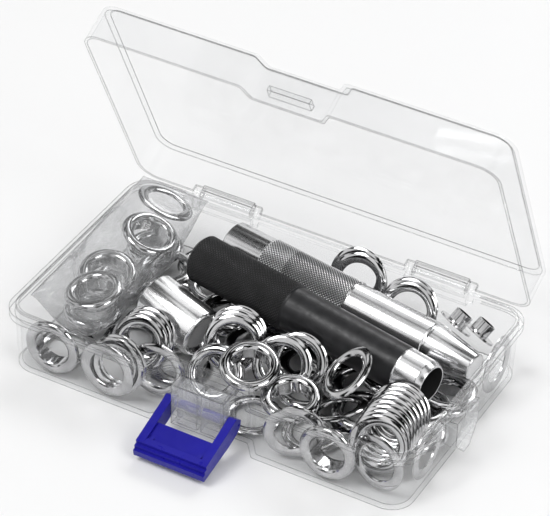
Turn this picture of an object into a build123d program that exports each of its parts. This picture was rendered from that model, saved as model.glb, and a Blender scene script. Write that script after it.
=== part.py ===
from build123d import *
import math
import os

os.makedirs("parts", exist_ok=True)

# Grommet-setting kit in a hinged clear case, in millimetres.
# Origin: centre of the case's flat underside. +X along the long side, +Z up,
# the latch on the -Y side, the lid's hinge on the +Y side.

# ---- driving sizes -------------------------------------------------------------
RIM_X = 82.5            # half length over the rim
RIM_FRONT = -49.8
RIM_BACK = 48.5
FOOT_X = 80.15          # half length of the underside
FOOT_Y = 47.4
FLOOR = 1.2
RIM_LOW = 22.35         # underside of the rim band
LEDGE = 25.1            # the lid's edge closes onto this
LIP = 25.9
HINGE_Y = 48.86
HINGE_Z = 25.44
LID_OPEN = 64.0         # lid angle as built, from closed
LID_WALL = 1.2
LID_DEPTH = 14.4
ROD_Y = -46.6           # latch pivot
ROD_Z = 11.7
ROD_R = 1.8
LATCH_OPEN = 100.0      # latch angle as built, from closed
RING_R = 11.0
GRIP_R = 9.2
SHAFT_R = 8.6
BASE_PINS = (-44.8, 44.8)


def outline(hx, front, back, xin, xout, yin, corner, turn=1.6):
    """Plan of the case: a rounded rectangle with a recess in the middle of its front."""
    pts = [(-hx, front), (-xout, front), (-xin, yin), (xin, yin), (xout, front), (hx, front), (hx, back), (-hx, back)]
    face = make_face(Polyline(*pts, close=True))
    face = fillet(face.vertices().filter_by(lambda v: abs(v.X) > hx - 1), corner)
    return fillet(face.vertices().filter_by(lambda v: abs(v.X) < xout + 1 and v.Y < 0), turn)


def at_z(face, z):
    return Pos(0, 0, z) * face


def slab(face, z0, z1):
    return extrude(at_z(face, z0), z1 - z0)


def tapered(low, high, z0, z1):
    return loft([at_z(low, z0).face(), at_z(high, z1).face()], ruled=True)


def bar_x(x0, x1, y, z, r):
    return Pos((x0 + x1) / 2, y, z) * Rot(0, 90, 0) * Cylinder(r, x1 - x0)


def block(x0, x1, y0, y1, z0, z1):
    return Pos((x0 + x1) / 2, (y0 + y1) / 2, (z0 + z1) / 2) * Box(x1 - x0, y1 - y0, z1 - z0)


# ---- case base -----------------------------------------------------------------
def case_base():
    foot = outline(FOOT_X, -FOOT_Y, FOOT_Y, 15.5, 20.4, -41.2, 9.0)
    top = outline(80.85, -47.8, 47.5, 15.1, 20.0, -41.6, 9.2)
    body = tapered(foot, top, 0, RIM_LOW + 0.2)
    body += slab(outline(RIM_X, RIM_FRONT, RIM_BACK, 14.6, 19.0, -44.2, 9.6), RIM_LOW, LEDGE)
    body += slab(outline(80.6, -47.15, 47.0, 15.4, 19.3, -41.1, 8.4), LEDGE - 0.2, LIP)
    low = outline(78.85, -46.1, 46.1, 16.8, 21.6, -39.9, 7.8)
    high = outline(79.5, -46.3, 46.0, 16.5, 21.2, -40.0, 7.8)
    body -= tapered(low, high, FLOOR, LIP + 0.5)
    # latch bracket, a hollow block hanging under the rim in the recess
    bracket = block(-10.6, 10.6, -50.0, -41.2, 4.4, 22.6)
    for side in (-1, 1):
        bracket -= block(min(side * 0.8, side * 8.8), max(side * 0.8, side * 8.8), -48.7, -42.6, 4.0, 20.6)
    bracket -= block(-11, 11, -51, -44.4, 22.0, 23)           # room for the shut latch's tray
    body += bracket
    body -= bar_x(-12, 12, ROD_Y, ROD_Z, ROD_R + 0.08)
    # thumb boss under the rim at the right end
    tongue = make_face(Polyline((-18, 22.4), (-1, 22.4), (-1, 12), (-6.5, 4.8), (-11, 4.8), (-18, 12), close=True))
    tongue = fillet(tongue.vertices().filter_by(lambda v: v.Y < 15), 2.4)
    body += Pos(79.9, 0, 0) * extrude(Plane.YZ * tongue, 5.6, dir=(1, 0, 0))
    # hinge ears at the back, each pair carrying a short moulded pin
    for x in BASE_PINS:
        body -= block(x - 12.8, x + 12.8, 45.9, 60, HINGE_Z - 2.6, 30)
        body += block(x - 12.8, x + 12.8, 44.6, 46.2, 21.0, LIP - 0.6)
        for end in (-1, 1):
            ear = bar_x(x + end * 12.6 - 1.4, x + end * 12.6 + 1.4, HINGE_Y, HINGE_Z, 2.1)
            ear += block(x + end * 12.6 - 1.4, x + end * 12.6 + 1.4, 46.0, 48.5, 20.5, HINGE_Z)
            body += ear
        body += bar_x(x - 12.7, x + 12.7, HINGE_Y, HINGE_Z, 0.95)
    return body


# ---- lid, drawn closed and then turned to where it stands ---------------------------
def case_lid():
    z0 = HINGE_Z
    outer = outline(82.15, -48.7, 48.56, 13.6, 17.0, -42.6, 8.0)
    inner = outline(82.15 - LID_WALL, -48.7 + LID_WALL, 48.56 - LID_WALL, 14.5, 17.8, -42.6 + LID_WALL, 6.9)
    body = slab(outer, z0, z0 + LID_DEPTH)
    top_edges = body.edges().filter_by(lambda e: abs(e.center().Z - z0 - LID_DEPTH) < 0.01)
    body = fillet(top_edges, 1.1)
    body -= slab(inner, z0 - 1, z0 + LID_DEPTH - LID_WALL)
    panel = outline(79.3, -45.9, 45.7, 16.2, 19.2, -39.9, 6.0)
    body -= slab(panel, z0 + LID_DEPTH - 0.35, z0 + LID_DEPTH + 1)
    body += block(-8.4, 8.4, -46.8, -42.0, 28.2, 30.3)        # catch under the shut latch's front bar
    for x in BASE_PINS:
        body -= block(x - 14.3, x + 14.3, 46.4, 50, z0 - 1, z0 + 2.5)
        wrap = bar_x(x - 10.9, x + 10.9, HINGE_Y, HINGE_Z, 2.1)
        wrap += block(x - 10.9, x + 10.9, 46.9, HINGE_Y + 0.6, HINGE_Z + 1.2, HINGE_Z + 3.2)
        body += wrap
        body -= bar_x(x - 11.5, x + 11.5, HINGE_Y, HINGE_Z, 1.02)
    swing = Pos(0, HINGE_Y, HINGE_Z) * Rot(-LID_OPEN, 0, 0) * Pos(0, -HINGE_Y, -HINGE_Z)
    return swing * body


# ---- latch, drawn with u outward from the rod and n towards the case when shut ----------
def latch():
    pts = [(0, -4.0), (6, -5.0), (21.4, -5.2), (21.4, 0.2), (5, 2.1), (0, 2.9), (-2.9, 0), (-2.2, -2.2)]
    side = make_face(Polyline(*pts, close=True))
    side = fillet(side.vertices().filter_by(lambda v: v.X < 0.5), 1.0)
    arm = extrude(Plane.YZ * side, 3.1, dir=(1, 0, 0))
    body = Pos(11.1, 0, 0) * arm + Pos(-14.2, 0, 0) * arm
    tray = make_face(Polyline((11.2, 0.3), (20.2, -0.8), (20.2, -2.8), (11.2, -1.7), close=True))
    body += Pos(-14.2, 0, 0) * extrude(Plane.YZ * tray, 28.4, dir=(1, 0, 0))
    # front bar with two lower steps outside it
    body += block(-14.2, 14.2, 19.0, 21.6, -5.2, 0.2)
    body += block(-14.2, 14.2, 21.4, 22.9, -5.2, -1.2)
    body += block(-14.2, 14.2, 22.7, 24.0, -5.2, -2.6)
    # small pegs at the tray's front corners
    for x in (-9.6, 9.6):
        body += Pos(x, 18.0, -1.4) * Cylinder(0.8, 2.4)
    body += bar_x(-12, 12, 0, 0, ROD_R)
    # u becomes -Y and n becomes +Z once it lies open, then it hangs 10 degrees low
    return Pos(0, ROD_Y, ROD_Z) * Rot(LATCH_OPEN - 90, 0, 0) * Rot(0, 0, 180) * body


# ---- round tools along their own axes ------------------------------------------------
def lying(start, end):
    """Placement with +Z along the line from start to end."""
    d = Vector(*end) - Vector(*start)
    return Plane(origin=start, z_dir=d, x_dir=Vector(0, 0, 1).cross(d)).location


def turned(points):
    """A solid of revolution about Z from (radius, height) points."""
    return revolve(make_face(Polyline(*[(r, 0, z) for r, z in points], close=True)), Axis.Z)


SETTER_A, SETTER_B = (-34.2, 34.9, 20.0), (76.0, 15.7, 20.0)
CUTTER_A, CUTTER_B = (-37.0, 15.6, 25.0), (67.6, -3.2, 22.0)
ANVIL_A, ANVIL_B = (-45.5, -3.9, 16.5), (-20.5, -10.4, 13.0)


def setter():
    n = 112.0
    body = turned([(0, 0), (7.6, 0), (8.8, 1.0), (8.8, 17.5), (9.1, 18.0), (9.1, 57.0), (8.7, 57.6), (8.7, 92.0),
                   (8.2, 92.3), (8.2, 93.3), (8.6, 93.6), (5.2, n - 0.6), (4.6, n), (0, n)])
    return lying(SETTER_A, SETTER_B) * body


def cutter():
    n = 106.3
    body = turned([(0, 0), (7.8, 0), (9.2, 1.4), (9.2, 44.0), (8.6, 44.6), (8.6, n - 12.0), (8.3, n - 11.7),
                   (8.2, n - 2.5), (7.2, n), (6.6, n), (6.4, n - 20.0), (0, n - 23.0)])
    return lying(CUTTER_A, CUTTER_B) * body


def anvil():
    n = 26.0
    body = turned([(0, 0), (8.4, 0), (9.5, 1.1), (9.5, n - 0.8), (8.8, n), (7.6, n), (6.6, n - 1.6), (3.0, n - 2.2), (0, n - 2.2)])
    return lying(ANVIL_A, ANVIL_B) * body


# ---- grommets and washers ---------------------------------------------------------
def grommet():
    """A flange with its barrel pointing down -Z."""
    w = Wire([Line((6.7, 0, -4.6), (7.1, 0, -4.6)), Line((7.1, 0, -4.6), (7.1, 0, -0.1)),
              ThreePointArc((7.1, 0, -0.1), (8.9, 0, 0.7), (RING_R - 0.25, 0, -0.8)),
              Line((RING_R - 0.25, 0, -0.8), (RING_R, 0, -0.3)),
              ThreePointArc((RING_R, 0, -0.3), (8.8, 0, 1.5), (6.7, 0, 0.3)), Line((6.7, 0, 0.3), (6.7, 0, -4.6))])
    return revolve(Face(w), Axis.Z)


def washer():
    w = Wire([Line((7.1, 0, -0.5), (RING_R, 0, -0.5)), Line((RING_R, 0, -0.5), (RING_R, 0, -0.1)),
              ThreePointArc((RING_R, 0, -0.1), (9.1, 0, 0.6), (7.1, 0, 0.0)), Line((7.1, 0, 0.0), (7.1, 0, -0.5))])
    return revolve(Face(w), Axis.Z)


def eyelet():
    """A small eyelet: a flat flange and a short tube pointing down -Z."""
    tube = Pos(0, 0, -2.6) * Cylinder(3.6, 5.2) - Pos(0, 0, -2.6) * Cylinder(3.0, 8)
    return tube + Pos(0, 0, -0.1) * (Cylinder(6.8, 0.8) - Cylinder(3.0, 2))


def facing(x, y, z, az, el):
    """Placement of a ring at x, y, z whose face looks to azimuth az, elevation el."""
    return Pos(x, y, z) * Rot(0, 0, az) * Rot(0, 90 - el, 0)


def row(kind, start, step, count, az, el, fan_az=0, fan_el=0):
    """Rings one behind the other, each turned a little from the last."""
    places = []
    for i in range(count):
        x, y, z = (start[k] + i * step[k] for k in range(3))
        places.append((kind, x, y, z, az + i * fan_az, el + i * fan_el))
    return places


# ---- poly bag over the left end, a closed film with room for the rings inside ----------
def pillow(grow):
    layers = [(9.6, -72, -54, 30), (13, -78.0, -49.0, 38.5), (22, -78.3, -48.6, 40.0),
              (31, -78.0, -48.6, 39.6), (36.4, -71, -53, 31)]
    faces = []
    for z, x0, x1, hy in layers:
        end = -grow if z < 10 else (grow if z > 35 else 0)
        plan = RectangleRounded(x1 - x0 + 2 * grow, 2 * hy + 2 * grow, 8)
        faces.append(Pos((x0 + x1) / 2, 3.4, z + end) * plan)
    return loft([f.face() for f in faces])


def poly_bag():
    return pillow(0.0) - pillow(-0.5)


# Each ring is (kind, x, y, z, azimuth, elevation): G a grommet, W a washer, E a small eyelet.
BED = [(-67, -10.8), (22.6, -10.8), (45, -10.8), (67.2, -10.8)]
BED += [(-67 + 22.4 * i, 11.6) for i in range(7)] + [(-67 + 22.4 * i, 34) for i in range(6)]
SECOND = [(-55.8 + 22.4 * i, 22.8) for i in (0, 1, 2, 3, 5)] + [(-5 + 22.4 * i, 0.4) for i in range(4)]
FLOOR_ROW = [(-67, -29.4, 1.9), (-48.2, -13.5, 1.9), (-25.8, -17.5, 1.9), (10.5, -28.4, 1.9), (33.5, -26, 1.9),
             (47, -29, 3.2)]
THIRD = [(-22.2 + 22.4 * i, 11.6) for i in range(5)] + [(-22.2, 34), (0.2, 34)]
GROUPS = {
    "grommet_top_left": [("G", 8.0, -27.0, 22.4, -65, 74)],
    "grommet_top_mid": [("G", 25.6, -28.4, 16.3, -73, 81)],
    "washer_leaning": [("W", 41.8, -18.2, 27.3, -145, 48)],
    "washer_low_mid": [("W", 40.5, -21.0, 12.5, 158, 66)],
    "washer_mid_1": [("W", 18.8, -11.1, 17.3, -80, 30)],
    "washer_mid_2": [("W", 14.5, -15.0, 17.0, -76, 34)],
    "washer_stack_right": row("W", (63.0, -17.6, 17.5), (-0.1, -2.05, -0.6), 8, -84, 30, 0.6, -2),
    "washer_stack_mid": row("W", (-7.4, -8.6, 17.0), (0.5, -2.3, -0.3), 3, -76, 30, 2, -1),
    "grommet_by_anvil": [("G", -6.5, -25.9, 11.8, -85, 42)],
    "washer_stack_left": row("W", (-38.4, -41.6, 12.7), (0.2, 2.0, 0.1), 2, -88, 12),
    "washer_stack_left_back": row("W", (-37.2, -27.5, 13.5), (0.3, 2.3, 0.3), 3, -84, 26),
    "grommet_front_left": [("G", -63.6, -44.0, 12.4, -88, 1)],
    "washer_front_left_2": [("W", -40.2, -44.9, 12.4, -91, 1)],
    "washer_front_left_3": [("W", -24.6, -35.8, 12.6, -84, 4)],
    "grommet_front_right": [("G", 48.6, -44.2, 12.4, -90, 1)],
    "washer_front_right_2": [("W", 33.6, -40.3, 12.4, -65, 3)],
    "washer_front_right_3": [("W", 65.8, -39.7, 12.4, -100, 4)],
    "washer_right_front": [("W", 78.0, -24.8, 12.4, 0, 0)],
    "washer_right_back": [("W", 78.0, 30.2, 12.4, 0, 0)],
    "washers_back_left": row("W", (15.3, 41.1, 20.2), (1.2, -1.5, -1.0), 2, -85, 20),
    "washers_back_right": row("W", (38.6, 36.9, 18.2), (0.6, -1.8, -0.5), 2, -85, 28),
    "eyelet_back_1": [("E", 57.5, 37.1, 17.8, -123, -44)],
    "eyelet_back_2": [("E", 68.0, 33.7, 20.2, -123, -44)],
    "grommet_bag_1": [("G", -60.5, -20.5, 24.0, -142, 79)],
    "grommet_bag_2": [("G", -65.5, -2.8, 18.4, -58, 74)],
    "grommet_bag_3": [("G", -61.2, 20.5, 23.0, 5, 70)],
    "washer_bag_4": [("W", -61.4, 31.9, 30.4, 46, 66)],
    "grommets_bed": [("G", x, y, 5.9, 0, 90) for x, y in BED],
    "washers_floor": [("W", x, y, z, 0, 90) for x, y, z in FLOOR_ROW],
    "washers_second": [("W", x, y, 8.2, 0, 90) for x, y in SECOND],
    "washers_third": [("W", x, y, 9.5, 0, 90) for x, y in THIRD],
}


def rings(places):
    made = []
    for kind, *place in places:
        made.append(facing(*place) * {"G": grommet, "W": washer, "E": eyelet}[kind]())
    return made[0] if len(made) == 1 else Compound(children=made)


pieces = {
    "case_base": case_base(), "case_lid": case_lid(), "latch": latch(), "setter": setter(), "cutter": cutter(),
    "anvil": anvil(), "poly_bag": poly_bag(),
}
for name, places in GROUPS.items():
    pieces[name] = rings(places)

for name, shape in pieces.items():
    export_step(shape, "parts/" + name + ".step")
    box = shape.bounding_box()
    print(name, len(shape.solids()), round(shape.volume, 1), [round(v, 2) for v in (*box.min, *box.max)])
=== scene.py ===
import math
from typing import NamedTuple

import bmesh
import bpy
import numpy as np
from mathutils import Matrix, Quaternion, Vector, noise


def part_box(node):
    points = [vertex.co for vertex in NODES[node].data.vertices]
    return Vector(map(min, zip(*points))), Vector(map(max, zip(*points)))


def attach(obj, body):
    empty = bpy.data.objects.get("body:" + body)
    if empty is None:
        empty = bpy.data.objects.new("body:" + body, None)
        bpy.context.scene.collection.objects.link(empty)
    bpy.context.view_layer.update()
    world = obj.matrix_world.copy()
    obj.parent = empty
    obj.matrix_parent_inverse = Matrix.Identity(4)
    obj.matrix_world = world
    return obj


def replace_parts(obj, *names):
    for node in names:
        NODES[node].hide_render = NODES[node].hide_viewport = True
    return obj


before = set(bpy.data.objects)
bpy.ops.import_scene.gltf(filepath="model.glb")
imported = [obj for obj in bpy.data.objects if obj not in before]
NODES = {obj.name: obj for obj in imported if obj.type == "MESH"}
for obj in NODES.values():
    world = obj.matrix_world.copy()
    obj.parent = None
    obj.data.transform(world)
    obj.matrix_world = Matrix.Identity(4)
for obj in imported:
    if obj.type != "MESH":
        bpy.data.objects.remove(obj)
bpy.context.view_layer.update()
scene = bpy.context.scene
scene.view_settings.view_transform = "Standard"


# ---- camera -------------------------------------------------------------------------
CAMERA_LENS, CAMERA_SENSOR = 204.7, 36.0            # mm
CAMERA_PLACE = (0.4136, -0.77995, 0.71857)          # m
CAMERA_TURN = (2.1553, 0.5751, -0.2468)             # rotation vector, world to camera


def make_camera():
    data = bpy.data.cameras.new("camera")
    data.lens, data.sensor_width = CAMERA_LENS, CAMERA_SENSOR
    data.clip_start, data.clip_end = 0.05, 20.0
    cam = bpy.data.objects.new("camera", data)
    turn = Vector(CAMERA_TURN)
    facing = Quaternion(turn.normalized(), turn.length).to_matrix().transposed()
    facing = facing @ Matrix(((1, 0, 0), (0, -1, 0), (0, 0, -1)))
    cam.matrix_world = Matrix.Translation(CAMERA_PLACE) @ facing.to_4x4()
    scene.collection.objects.link(cam)
    scene.camera = cam


make_camera()


# ---- materials ------------------------------------------------------------------------
class Shade:
    """A material with a Principled shader and short helpers for its nodes."""

    def __init__(self, name, **sockets):
        self.mat = bpy.data.materials.new(name)
        self.mat.use_nodes = True
        self.nodes, self.links = self.mat.node_tree.nodes, self.mat.node_tree.links
        self.bsdf = self.nodes["Principled BSDF"]
        self.out = self.nodes["Material Output"]
        for key, value in sockets.items():
            self.bsdf.inputs[key.replace("_", " ")].default_value = value
        self.coords = self.nodes.new("ShaderNodeTexCoord").outputs["Object"]

    def add(self, kind, **inputs):
        node = self.nodes.new("ShaderNode" + kind)
        for key, value in inputs.items():
            socket = node.inputs[key.replace("_", " ")]
            if hasattr(value, "is_linked"):
                self.links.new(value, socket)
            else:
                socket.default_value = value
        return node

    def noise(self, scale, detail=3.0, vector=None, rough=0.5):
        node = self.add("TexNoise", Scale=scale, Detail=detail, Roughness=rough)
        self.links.new(vector or self.coords, node.inputs["Vector"])
        return node.outputs["Fac"]

    def stretched(self, scale, rotation=(0, 0, 0)):
        node = self.add("Mapping", Vector=self.coords, Scale=scale, Rotation=rotation)
        return node.outputs["Vector"]

    def ramp(self, fac, low, high, start=0.3, end=0.7):
        """fac from start to end becomes a number from low to high."""
        node = self.add("MapRange", Value=fac)
        node.inputs["From Min"].default_value, node.inputs["From Max"].default_value = start, end
        node.inputs["To Min"].default_value, node.inputs["To Max"].default_value = low, high
        return node.outputs["Result"]

    def colours(self, fac, low, high, start=0.3, end=0.7):
        node = self.add("ValToRGB", Fac=fac)
        first, last = node.color_ramp.elements
        first.position, first.color = start, (*low, 1)
        last.position, last.color = end, (*high, 1)
        return node.outputs["Color"]

    def set(self, socket, value):
        self.links.new(value, self.bsdf.inputs[socket])

    def maths(self, kind, a, b=0.0, c=0.0, clamp=False):
        node = self.nodes.new("ShaderNodeMath")
        node.operation, node.use_clamp = kind, clamp
        for socket, value in zip(node.inputs, (a, b, c)):
            if hasattr(value, "is_linked"):
                self.links.new(value, socket)
            else:
                socket.default_value = value
        return node.outputs[0]

    def inside(self, low, high):
        """1 inside a box of the object's own space, given in mm, and 0 outside it."""
        split = self.add("SeparateXYZ", Vector=self.coords)
        total = 1.0
        for k in range(3):
            mid, half = (low[k] + high[k]) / 2000, (high[k] - low[k]) / 2000
            total = self.maths("MULTIPLY", total, self.maths("COMPARE", split.outputs[k], mid, half))
        return total

    def bump(self, height, strength, distance):
        node = self.add("Bump", Strength=strength, Distance=distance, Height=height)
        self.set("Normal", node.outputs["Normal"])


def edges(s, radius, start, end):
    """1 along the sharp edges of the moulding, fading to 0 on its flat walls."""
    soft = s.add("Bevel", Radius=radius)
    hard = s.nodes.new("ShaderNodeNewGeometry")
    dot = s.nodes.new("ShaderNodeVectorMath")
    dot.operation = "DOT_PRODUCT"
    s.links.new(soft.outputs["Normal"], dot.inputs[0])
    s.links.new(hard.outputs["True Normal"], dot.inputs[1])
    return s.ramp(s.maths("ABSOLUTE", dot.outputs["Value"]), 1.0, 0.0, end, start)


def see_through(s, cover, tint):
    """Lets what is behind show where cover is below 1, with a thin gloss over it."""
    behind = s.add("BsdfTransparent", Color=(*tint, 1))
    gloss = s.add("BsdfGlossy", Color=(1, 1, 1, 1), Roughness=0.06)
    shine = s.nodes.new("ShaderNodeMixShader")
    turned = s.add("LayerWeight", Blend=0.5).outputs["Facing"]
    s.links.new(s.maths("MULTIPLY_ADD", s.maths("POWER", turned, 5.0), 0.35, 0.015), shine.inputs[0])
    s.links.new(behind.outputs[0], shine.inputs[1])
    s.links.new(gloss.outputs[0], shine.inputs[2])
    whole = s.nodes.new("ShaderNodeMixShader")
    s.links.new(cover, whole.inputs[0])
    s.links.new(shine.outputs[0], whole.inputs[1])
    s.links.new(s.bsdf.outputs[0], whole.inputs[2])
    s.links.new(whole.outputs[0], s.out.inputs["Surface"])
    return s.mat


# the grey along a moulding's edges is painted shade, standing in for the dark lines that refraction draws
# there
EDGE_SHADE_WIDTH = 0.0008         # m, how far a moulding's grey edge reaches
EDGE_SHADE_COVER = 0.85           # how much of what is behind such an edge it hides


def clear_plastic(name, frosted=(), soft=None):
    """Clear moulded plastic: almost nothing on its walls; painted dark shade along its edges and painted
    grey where it turns from the camera, both standing in for the dark lines that refraction draws;
    cloudy in the frosted boxes, with fainter painted edge shade in the soft box."""
    s = Shade(name, Specular_IOR_Level=0.5)
    # painted shade: a dark grey line along the moulding's edges, for the dark lines of refraction
    edge_shade = edges(s, EDGE_SHADE_WIDTH, 0.99, 0.84)
    if soft:
        edge_shade = s.maths("MULTIPLY", edge_shade, s.maths("MULTIPLY_ADD", s.inside(*soft), -0.7, 1.0))
    turned = s.add("LayerWeight", Blend=0.5).outputs["Facing"]
    # painted shade: grey cover where the wall turns from the camera, for the same refraction lines
    glancing_shade = s.maths("MULTIPLY", s.maths("POWER", turned, 4.0), 0.2)
    cloud = s.ramp(s.noise(35.0, 4.0), 0.008, 0.035)
    cover = s.maths("ADD", s.maths("ADD", cloud, glancing_shade), s.maths("MULTIPLY", edge_shade, EDGE_SHADE_COVER), clamp=True)
    for low, high in frosted:
        streaks = s.ramp(s.noise(260.0, 3.0, s.stretched((0.25, 1.0, 1.6))), 0.12, 0.34)
        cover = s.maths("ADD", cover, s.maths("MULTIPLY", s.inside(low, high), streaks), clamp=True)
    # base colour: wall grey, going to the painted dark edge shade along the edges
    tone = s.add("MixRGB", Fac=edge_shade, Color1=(0.72, 0.73, 0.74, 1), Color2=(0.07, 0.07, 0.072, 1))
    s.set("Base Color", tone.outputs[0])
    s.set("Roughness", s.ramp(s.noise(300.0, 3.0), 0.12, 0.3))
    return see_through(s, cover, (0.995, 0.996, 0.997))


def film(name):
    """Thin soft film: a light grey veil, whiter and denser along its creases."""
    s = Shade(name, Specular_IOR_Level=0.6)
    turned = s.add("LayerWeight", Blend=0.5).outputs["Facing"]
    crease = s.ramp(s.noise(120.0, 5.0, s.stretched((1.0, 0.5, 1.0)), 0.6), 0.0, 0.14, 0.45, 0.75)
    veil = s.maths("ADD", s.ramp(s.noise(30.0, 3.0), 0.11, 0.2), crease)
    cover = s.maths("ADD", veil, s.maths("MULTIPLY", s.maths("POWER", turned, 3.0), 0.5), clamp=True)
    s.set("Base Color", s.colours(s.noise(70.0, 4.0), (0.36, 0.365, 0.37), (0.62, 0.625, 0.63)))
    s.set("Roughness", s.ramp(s.noise(400.0, 3.0), 0.15, 0.35))
    s.bump(s.noise(260.0, 4.0, s.stretched((1.0, 0.45, 1.0))), 0.5, 0.0004)
    return see_through(s, cover, (0.96, 0.962, 0.965))


def plated(name, tint, dark, rough):
    """Bright plate: fine scratches and faint cloudy patches."""
    s = Shade(name, Metallic=1.0)
    cloud = s.noise(160.0, 3.0)
    s.set("Base Color", s.colours(cloud, dark, tint))
    scratch = s.noise(900.0, 2.0, s.stretched((1.0, 0.12, 1.0), (0.4, 0.3, 0.9)))
    s.set("Roughness", s.ramp(scratch, rough * 0.7, rough * 1.7))
    s.bump(scratch, 0.05, 0.00005)
    return s.mat


def turned_steel(name, tint, dark, rough):
    """Ground steel with fine streaks along the tool's axis."""
    s = Shade(name, Metallic=1.0)
    lines = s.noise(900.0, 2.0, s.stretched((1.0, 1.0, 0.04)))
    cloud = s.noise(60.0, 4.0)
    s.set("Base Color", s.colours(cloud, dark, tint))
    s.set("Roughness", s.ramp(lines, rough * 0.88, rough * 1.15))
    s.bump(lines, 0.02, 0.00005)
    return s.mat


def blackened(name):
    s = Shade(name, Metallic=0.1, Specular_IOR_Level=0.32)
    wear = s.noise(220.0, 5.0)
    s.set("Base Color", s.colours(wear, (0.008, 0.008, 0.009), (0.022, 0.022, 0.024), 0.35, 0.8))
    s.set("Roughness", s.ramp(s.noise(500.0, 3.0), 0.3, 0.46))
    s.bump(s.noise(1400.0, 2.0), 0.12, 0.00006)
    return s.mat


def blue_plastic(name):
    s = Shade(name, Specular_IOR_Level=0.3, Coat_Weight=0.1, Coat_Roughness=0.2)
    s.set("Base Color", s.colours(s.noise(45.0, 3.0), (0.007, 0.005, 0.22), (0.01, 0.008, 0.28)))
    s.set("Roughness", s.ramp(s.noise(400.0, 4.0), 0.26, 0.42))
    s.bump(s.noise(900.0, 3.0), 0.1, 0.0001)
    return s.mat


# boxes in mm, in the case's own space
BRACKET = ((-10.7, -50.2, 4.2), (10.7, -42.2, 21.5))
BOSS = ((80.9, -18.2, 4.6), (85.7, -0.8, 22.2))
HINGES = ((-62.0, 44.0, 19.0), (62.0, 53.0, 30.0))
CLEAR_BASE = clear_plastic("clear_case", (BRACKET, BOSS), HINGES)
CLEAR_LID = clear_plastic("clear_lid")
FILM = film("bag_film")
NICKEL = plated("nickel", (0.58, 0.58, 0.585), (0.4, 0.4, 0.405), 0.09)
STEEL = turned_steel("polished_steel", (0.72, 0.72, 0.725), (0.56, 0.56, 0.565), 0.2)
BRIGHT = turned_steel("anvil_steel", (0.93, 0.93, 0.935), (0.84, 0.84, 0.845), 0.2)
GRIP = turned_steel("knurled_steel", (0.66, 0.66, 0.665), (0.5, 0.5, 0.505), 0.38)
# painted shade: near-black steel for the setter's knurl grooves, the shade that falls in them
GROOVE_SHADE = turned_steel("knurl_groove_shade", (0.13, 0.13, 0.132), (0.07, 0.07, 0.071), 0.5)
GROUND = turned_steel("ground_steel", (0.76, 0.76, 0.77), (0.6, 0.6, 0.61), 0.24)
BLACK = blackened("black_steel")
# painted shade: near-black for the cutter's knurl grooves and its bore, the shade that falls in these
# recesses
PIT_SHADE = Shade("black_pit_shade", Base_Color=(0.002, 0.002, 0.002, 1), Roughness=0.8).mat
BLUE = blue_plastic("blue_plastic")


def paint(obj, mat):
    obj.data.materials.clear()
    obj.data.materials.append(mat)


for name, obj in NODES.items():
    if name.startswith(("washer", "grommet", "eyelet")):
        paint(obj, NICKEL)
paint(NODES["case_base"], CLEAR_BASE)
paint(NODES["case_lid"], CLEAR_LID)
paint(NODES["latch"], BLUE)


# ---- turned tools, with their knurling cut as real diamonds -------------------------------
def lying(start, end):
    """Placement with +Z along the line from start to end, as the CAD's tools lie."""
    start, end = Vector(start) / 1000, Vector(end) / 1000
    z = (end - start).normalized()
    x = Vector((0, 0, 1)).cross(z).normalized()
    return Matrix.Translation(start) @ Matrix((x, z.cross(x), z)).transposed().to_4x4()


class Knurl(NamedTuple):
    """Two crossing sets of slanted grooves from low to high, in mm along the tool."""
    low: float
    high: float
    pitch: float
    depth: float
    tops: int           # material index of the diamonds
    # the grooves' material is darker than the tops: painted shade
    grooves: int        # material index of the grooves


def groove(turn, z, around, pitch):
    """How deep the knurl is here, from 0 on a diamond's top to 1 in a groove."""
    turns, rise = around // 4, z / pitch
    u, v = (turns * turn + rise) % 1, (turns * turn - rise) % 1
    return 1 - min(1.0, 1.5 * min(abs(2 * u - 1), abs(2 * v - 1)))


def lathe(name, place, profile, mats, around=184, knurl=None):
    """A closed turned body in mm from (radius, height, material index) points."""
    rows = []
    for (r0, z0, m), (r1, z1, _) in zip(profile, profile[1:]):
        steps = 1
        if knurl and z0 >= knurl.low - 1e-6 and z1 <= knurl.high + 1e-6:
            steps = max(1, round((z1 - z0) / (knurl.pitch / 4)))
        rows += [(r0 + (r1 - r0) * i / steps, z0 + (z1 - z0) * i / steps, m) for i in range(steps)]
    rows.append(profile[-1])
    bm = bmesh.new()
    rings = []
    for r, z, _ in rows:
        if r < 1e-6:
            rings.append([bm.verts.new((0, 0, z / 1000))])
            continue
        ring = []
        for k in range(around):
            a, rr = math.tau * k / around, r
            if knurl and knurl.low < z < knurl.high:
                rr -= knurl.depth * groove(k / around, z, around, knurl.pitch)
            ring.append(bm.verts.new((rr * math.cos(a) / 1000, rr * math.sin(a) / 1000, z / 1000)))
        rings.append(ring)
    for low, high, (_, z, m), (_, z_next, _) in zip(rings, rings[1:], rows, rows[1:]):
        mid = (z + z_next) / 2
        for k in range(around):
            j = (k + 1) % around
            if len(low) == 1:
                face = bm.faces.new((low[0], high[j], high[k]))
            elif len(high) == 1:
                face = bm.faces.new((low[k], low[j], high[0]))
            else:
                face = bm.faces.new((low[k], low[j], high[j], high[k]))
            face.material_index, face.smooth = m, True
            if knurl and knurl.low < mid < knurl.high:
                cut = groove((k + 0.5) / around, mid, around, knurl.pitch)
                # faces deep in a groove take the painted groove shade
                face.material_index = knurl.grooves if cut > 0.5 else knurl.tops
    bmesh.ops.recalc_face_normals(bm, faces=bm.faces)
    mesh = bpy.data.meshes.new(name)
    bm.to_mesh(mesh)
    bm.free()
    mesh.set_sharp_from_angle(angle=math.radians(32))
    for mat in mats:
        mesh.materials.append(mat)
    obj = bpy.data.objects.new(name, mesh)
    obj.matrix_world = place
    scene.collection.objects.link(obj)
    return obj


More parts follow.
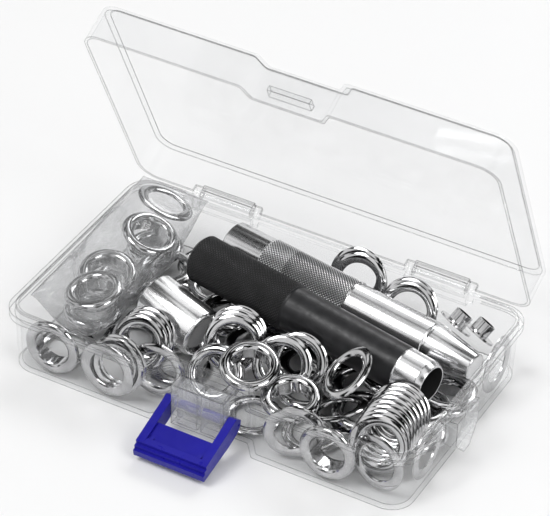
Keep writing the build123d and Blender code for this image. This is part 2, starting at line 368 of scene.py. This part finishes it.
def soften(points, cut=0.25):
    """Rounds each corner of a turned profile a little."""
    out = [points[0]]
    for before, here, after in zip(points, points[1:], points[2:]):
        p, q, s = Vector(before[:2]), Vector(here[:2]), Vector(after[:2])
        c = min(cut, (p - q).length / 3, (s - q).length / 3)
        a, b = q + (p - q).normalized() * c, q + (s - q).normalized() * c
        mid = (a + 2 * q + b) / 4
        out += [(a.x, a.y, before[2]), (mid.x, mid.y, here[2]), (b.x, b.y, here[2])]
    return out + [points[-1]]


# where each tool's axis runs and how long it is, in mm, as in the CAD
SETTER_AXIS, SETTER_LONG = ((-34.2, 34.9, 20.0), (76.0, 15.7, 20.0)), 112.0
CUTTER_AXIS, CUTTER_LONG = ((-37.0, 15.6, 25.0), (67.6, -3.2, 22.0)), 106.3
ANVIL_AXIS, ANVIL_LONG = ((-45.5, -3.9, 16.5), (-20.5, -10.4, 13.0)), 26.0
KNURL_PITCH = 1.25


def setter():
    n = SETTER_LONG
    prof = [(0, 0.5, 0), (6.0, 0, 0), (7.6, 0, 0), (8.8, 1.0, 0), (8.8, 17.5, 0), (9.1, 18.0, 0),
            (9.1, 57.0, 0), (8.7, 57.6, 0), (8.7, 92.0, 0), (8.2, 92.3, 0), (8.2, 93.3, 0), (8.6, 93.6, 0),
            (5.2, n - 0.6, 0), (4.6, n, 0), (0, n, 0)]
    obj = lathe("setter_tool", lying(*SETTER_AXIS), soften(prof), [STEEL, GRIP, GROOVE_SHADE],
                knurl=Knurl(18.1, 56.9, KNURL_PITCH, 0.38, 1, 2))
    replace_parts(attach(obj, "setter_body"), "setter")


def cutter():
    n = CUTTER_LONG
    prof = [(0, 0.4, 0), (6.5, 0, 0), (7.8, 0, 0), (9.2, 1.4, 0), (9.2, 44.0, 0), (8.6, 44.6, 0),
            (8.6, n - 12.0, 1), (8.3, n - 11.7, 1), (8.2, n - 2.5, 1), (7.2, n, 1), (6.6, n, 2),
            (6.4, n - 20.0, 2), (0, n - 23.0, 0)]
    # material 2 is painted shade, in the knurl grooves and down the bore
    obj = lathe("cutter_tool", lying(*CUTTER_AXIS), soften(prof), [BLACK, GROUND, PIT_SHADE],
                knurl=Knurl(1.6, 43.8, KNURL_PITCH, 0.34, 0, 2))
    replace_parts(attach(obj, "cutter_body"), "cutter")


def anvil():
    n = ANVIL_LONG
    prof = [(0, 0, 0), (8.4, 0, 0), (9.5, 1.1, 0), (9.5, n - 0.8, 0), (8.8, n, 0), (7.6, n, 0),
            (6.6, n - 1.6, 0), (3.0, n - 2.2, 0), (0, n - 2.2, 0)]
    obj = lathe("anvil_block", lying(*ANVIL_AXIS), soften(prof), [BRIGHT])
    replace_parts(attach(obj, "anvil_body"), "anvil")


setter()
cutter()
anvil()


# ---- the poly bag: two sheets of film sealed at their edges, sagging over its rings -----------
def crumple(x, y, seed):
    """Sharp little folds, from about -1 to 1, in mm coordinates."""
    total = 0.0
    for size, weight in ((17.0, 0.5), (8.0, 0.32), (3.6, 0.18)):
        n = noise.noise(Vector((x / size + seed, y / size * 0.7, seed * 1.7)))
        total += weight * (1 - 3.4 * abs(n))
    return total


def reach(nodes, xs, ys, up, near=1.3):
    """For each grid point, how high (or low) the nodes' surfaces come close by."""
    sign = 1 if up else -1
    found = np.full((len(ys), len(xs)), -1e3)
    step_x, step_y = xs[1] - xs[0], ys[1] - ys[0]
    for node in nodes:
        co = np.array([v.co for v in NODES[node].data.vertices]) * 1000
        for dx in (-near, 0, near):
            for dy in (-near, 0, near):
                i = np.clip(np.round((co[:, 0] + dx - xs[0]) / step_x).astype(int), 0, len(xs) - 1)
                j = np.clip(np.round((co[:, 1] + dy - ys[0]) / step_y).astype(int), 0, len(ys) - 1)
                np.maximum.at(found, (j, i), sign * co[:, 2] + 0.45)
    return found * sign


def drape(seam, limit, inner, up, sag):
    """A slack membrane held at its seam and pushed out by what is inside it."""
    z = seam.copy()
    for _ in range(500):
        mean = (np.roll(z, 1, 0) + np.roll(z, -1, 0) + np.roll(z, 1, 1) + np.roll(z, -1, 1)) / 4
        z = np.where(inner, mean - sag, seam)
        z = np.where(inner, np.maximum(z, limit) if up else np.minimum(z, limit), seam)
    return z


def add_sheet(bm, xs, ys, zs, downward):
    """Adds one sheet of faces over a grid of points in mm."""
    rows, cols = zs.shape
    grid = [[bm.verts.new((xs[j, i] / 1000, ys[j, i] / 1000, zs[j, i] / 1000)) for i in range(cols)]
            for j in range(rows)]
    for j in range(rows - 1):
        for i in range(cols - 1):
            quad = (grid[j][i], grid[j][i + 1], grid[j + 1][i + 1], grid[j + 1][i])
            bm.faces.new(quad[::-1] if downward else quad).smooth = True


def poly_bag():
    lo, hi = (1000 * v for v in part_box("poly_bag"))
    xs, ys = np.linspace(lo.x + 0.5, hi.x - 0.5, 74), np.linspace(lo.y + 0.6, hi.y - 0.6, 190)
    gx, gy = np.meshgrid(xs, ys)
    held = [n for n in NODES if "_bag_" in n]
    folds = np.vectorize(crumple)
    seam = 25.0 + 1.1 * folds(gx * 0.5, gy * 0.5, 9.1) + 4.0 * (gy - gy.min()) / (gy.max() - gy.min())
    inner = np.zeros_like(gx, bool)
    inner[1:-1, 1:-1] = True
    edge = np.minimum(np.minimum(gx - xs[0], xs[-1] - gx), np.minimum(gy - ys[0], ys[-1] - gy))
    fade = np.clip(edge / 5.0, 0, 1)
    top = drape(seam, reach(held, xs, ys, True), inner, True, 0.004)
    low = drape(seam, np.maximum(reach(held, xs, ys, False), 10.4), inner, False, 0.03)
    top = np.minimum(top + fade * 0.75 * (1 + folds(gx, gy, 3.3)) * 0.5, hi.z - 0.1)
    low = np.minimum(np.maximum(low - fade * 0.5 * (1 + folds(gx, gy, 6.1)) * 0.5, lo.z + 0.1), top - 0.05)
    draw_in = 1 - 0.012 * (1 + folds(gx * 0.35, gy * 0.35, 2.2))
    px = (gx - (lo.x + hi.x) / 2) * np.where(fade < 1, draw_in, 1) + (lo.x + hi.x) / 2
    bm = bmesh.new()
    add_sheet(bm, px, gy, np.where(inner, top, seam), False)
    add_sheet(bm, px, gy, np.where(inner, low, seam), True)
    bmesh.ops.remove_doubles(bm, verts=bm.verts, dist=1e-6)
    mesh = bpy.data.meshes.new("bag_film_shell")
    bm.to_mesh(mesh)
    bm.free()
    mesh.materials.append(FILM)
    obj = bpy.data.objects.new("bag_film_shell", mesh)
    scene.collection.objects.link(obj)
    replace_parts(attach(obj, "bag_body"), "poly_bag")


poly_bag()


# ---- floor, light, backdrop ----------------------------------------------------------------
def floor():
    bpy.ops.mesh.primitive_plane_add(size=8.0, location=(0, 0, -0.0002))
    plane = bpy.context.object
    plane.name = "floor"
    s = Shade("floor", Roughness=0.8, Specular_IOR_Level=0.1)
    s.set("Base Color", s.colours(s.noise(3.0), (0.76, 0.76, 0.763), (0.78, 0.78, 0.78)))
    paint(plane, s.mat)


def lamp(name, spot, look, size, power, tint=(1, 1, 1)):
    data = bpy.data.lights.new(name, "AREA")
    data.shape, data.size, data.size_y = "RECTANGLE", size[0], size[1]
    data.energy, data.color = power, tint
    obj = bpy.data.objects.new(name, data)
    aim = (Vector(look) - Vector(spot)).to_track_quat("-Z", "Y").to_matrix().to_4x4()
    obj.matrix_world = Matrix.Translation(spot) @ aim
    scene.collection.objects.link(obj)


def surroundings():
    """A studio of white panels and dark gaps for the bright metal to mirror, pale
    near the horizon."""
    world = bpy.data.worlds.new("studio")
    scene.world = world
    world.use_nodes = True
    nodes, links = world.node_tree.nodes, world.node_tree.links

    def new(kind):
        return nodes.new("ShaderNode" + kind)

    coord, split, cells = new("TexCoord"), new("SeparateXYZ"), new("TexNoise")
    links.new(coord.outputs["Generated"], split.inputs[0])
    links.new(coord.outputs["Generated"], cells.inputs["Vector"])
    cells.inputs["Scale"].default_value, cells.inputs["Detail"].default_value = 2.4, 0.5
    panels, low, mix = new("ValToRGB"), new("ValToRGB"), new("MixRGB")
    links.new(cells.outputs["Fac"], panels.inputs["Fac"])
    links.new(split.outputs["Z"], low.inputs["Fac"])
    for ramp, stops in ((panels, ((0.51, 0.0), (0.56, 1.0))), (low, ((0.06, 0.0), (0.16, 1.0)))):
        for stop, (place, tone) in zip(ramp.color_ramp.elements, stops):
            stop.position, stop.color = place, (tone, tone, tone, 1)
    links.new(low.outputs["Color"], mix.inputs[0])
    mix.inputs[1].default_value = (0.95, 0.95, 0.95, 1)
    links.new(panels.outputs["Color"], mix.inputs[2])
    links.new(mix.outputs[0], nodes["Background"].inputs["Color"])
    nodes["Background"].inputs["Strength"].default_value = 1.1


floor()
surroundings()
lamp("key", (-0.5, -0.7, 1.3), (0, 0, 0.02), (0.7, 0.5), 11)
lamp("fill", (0.9, -0.3, 0.9), (0, 0, 0.02), (0.5, 0.5), 5)
lamp("back", (0.1, 1.0, 0.9), (0, 0, 0.03), (1.0, 0.4), 7)
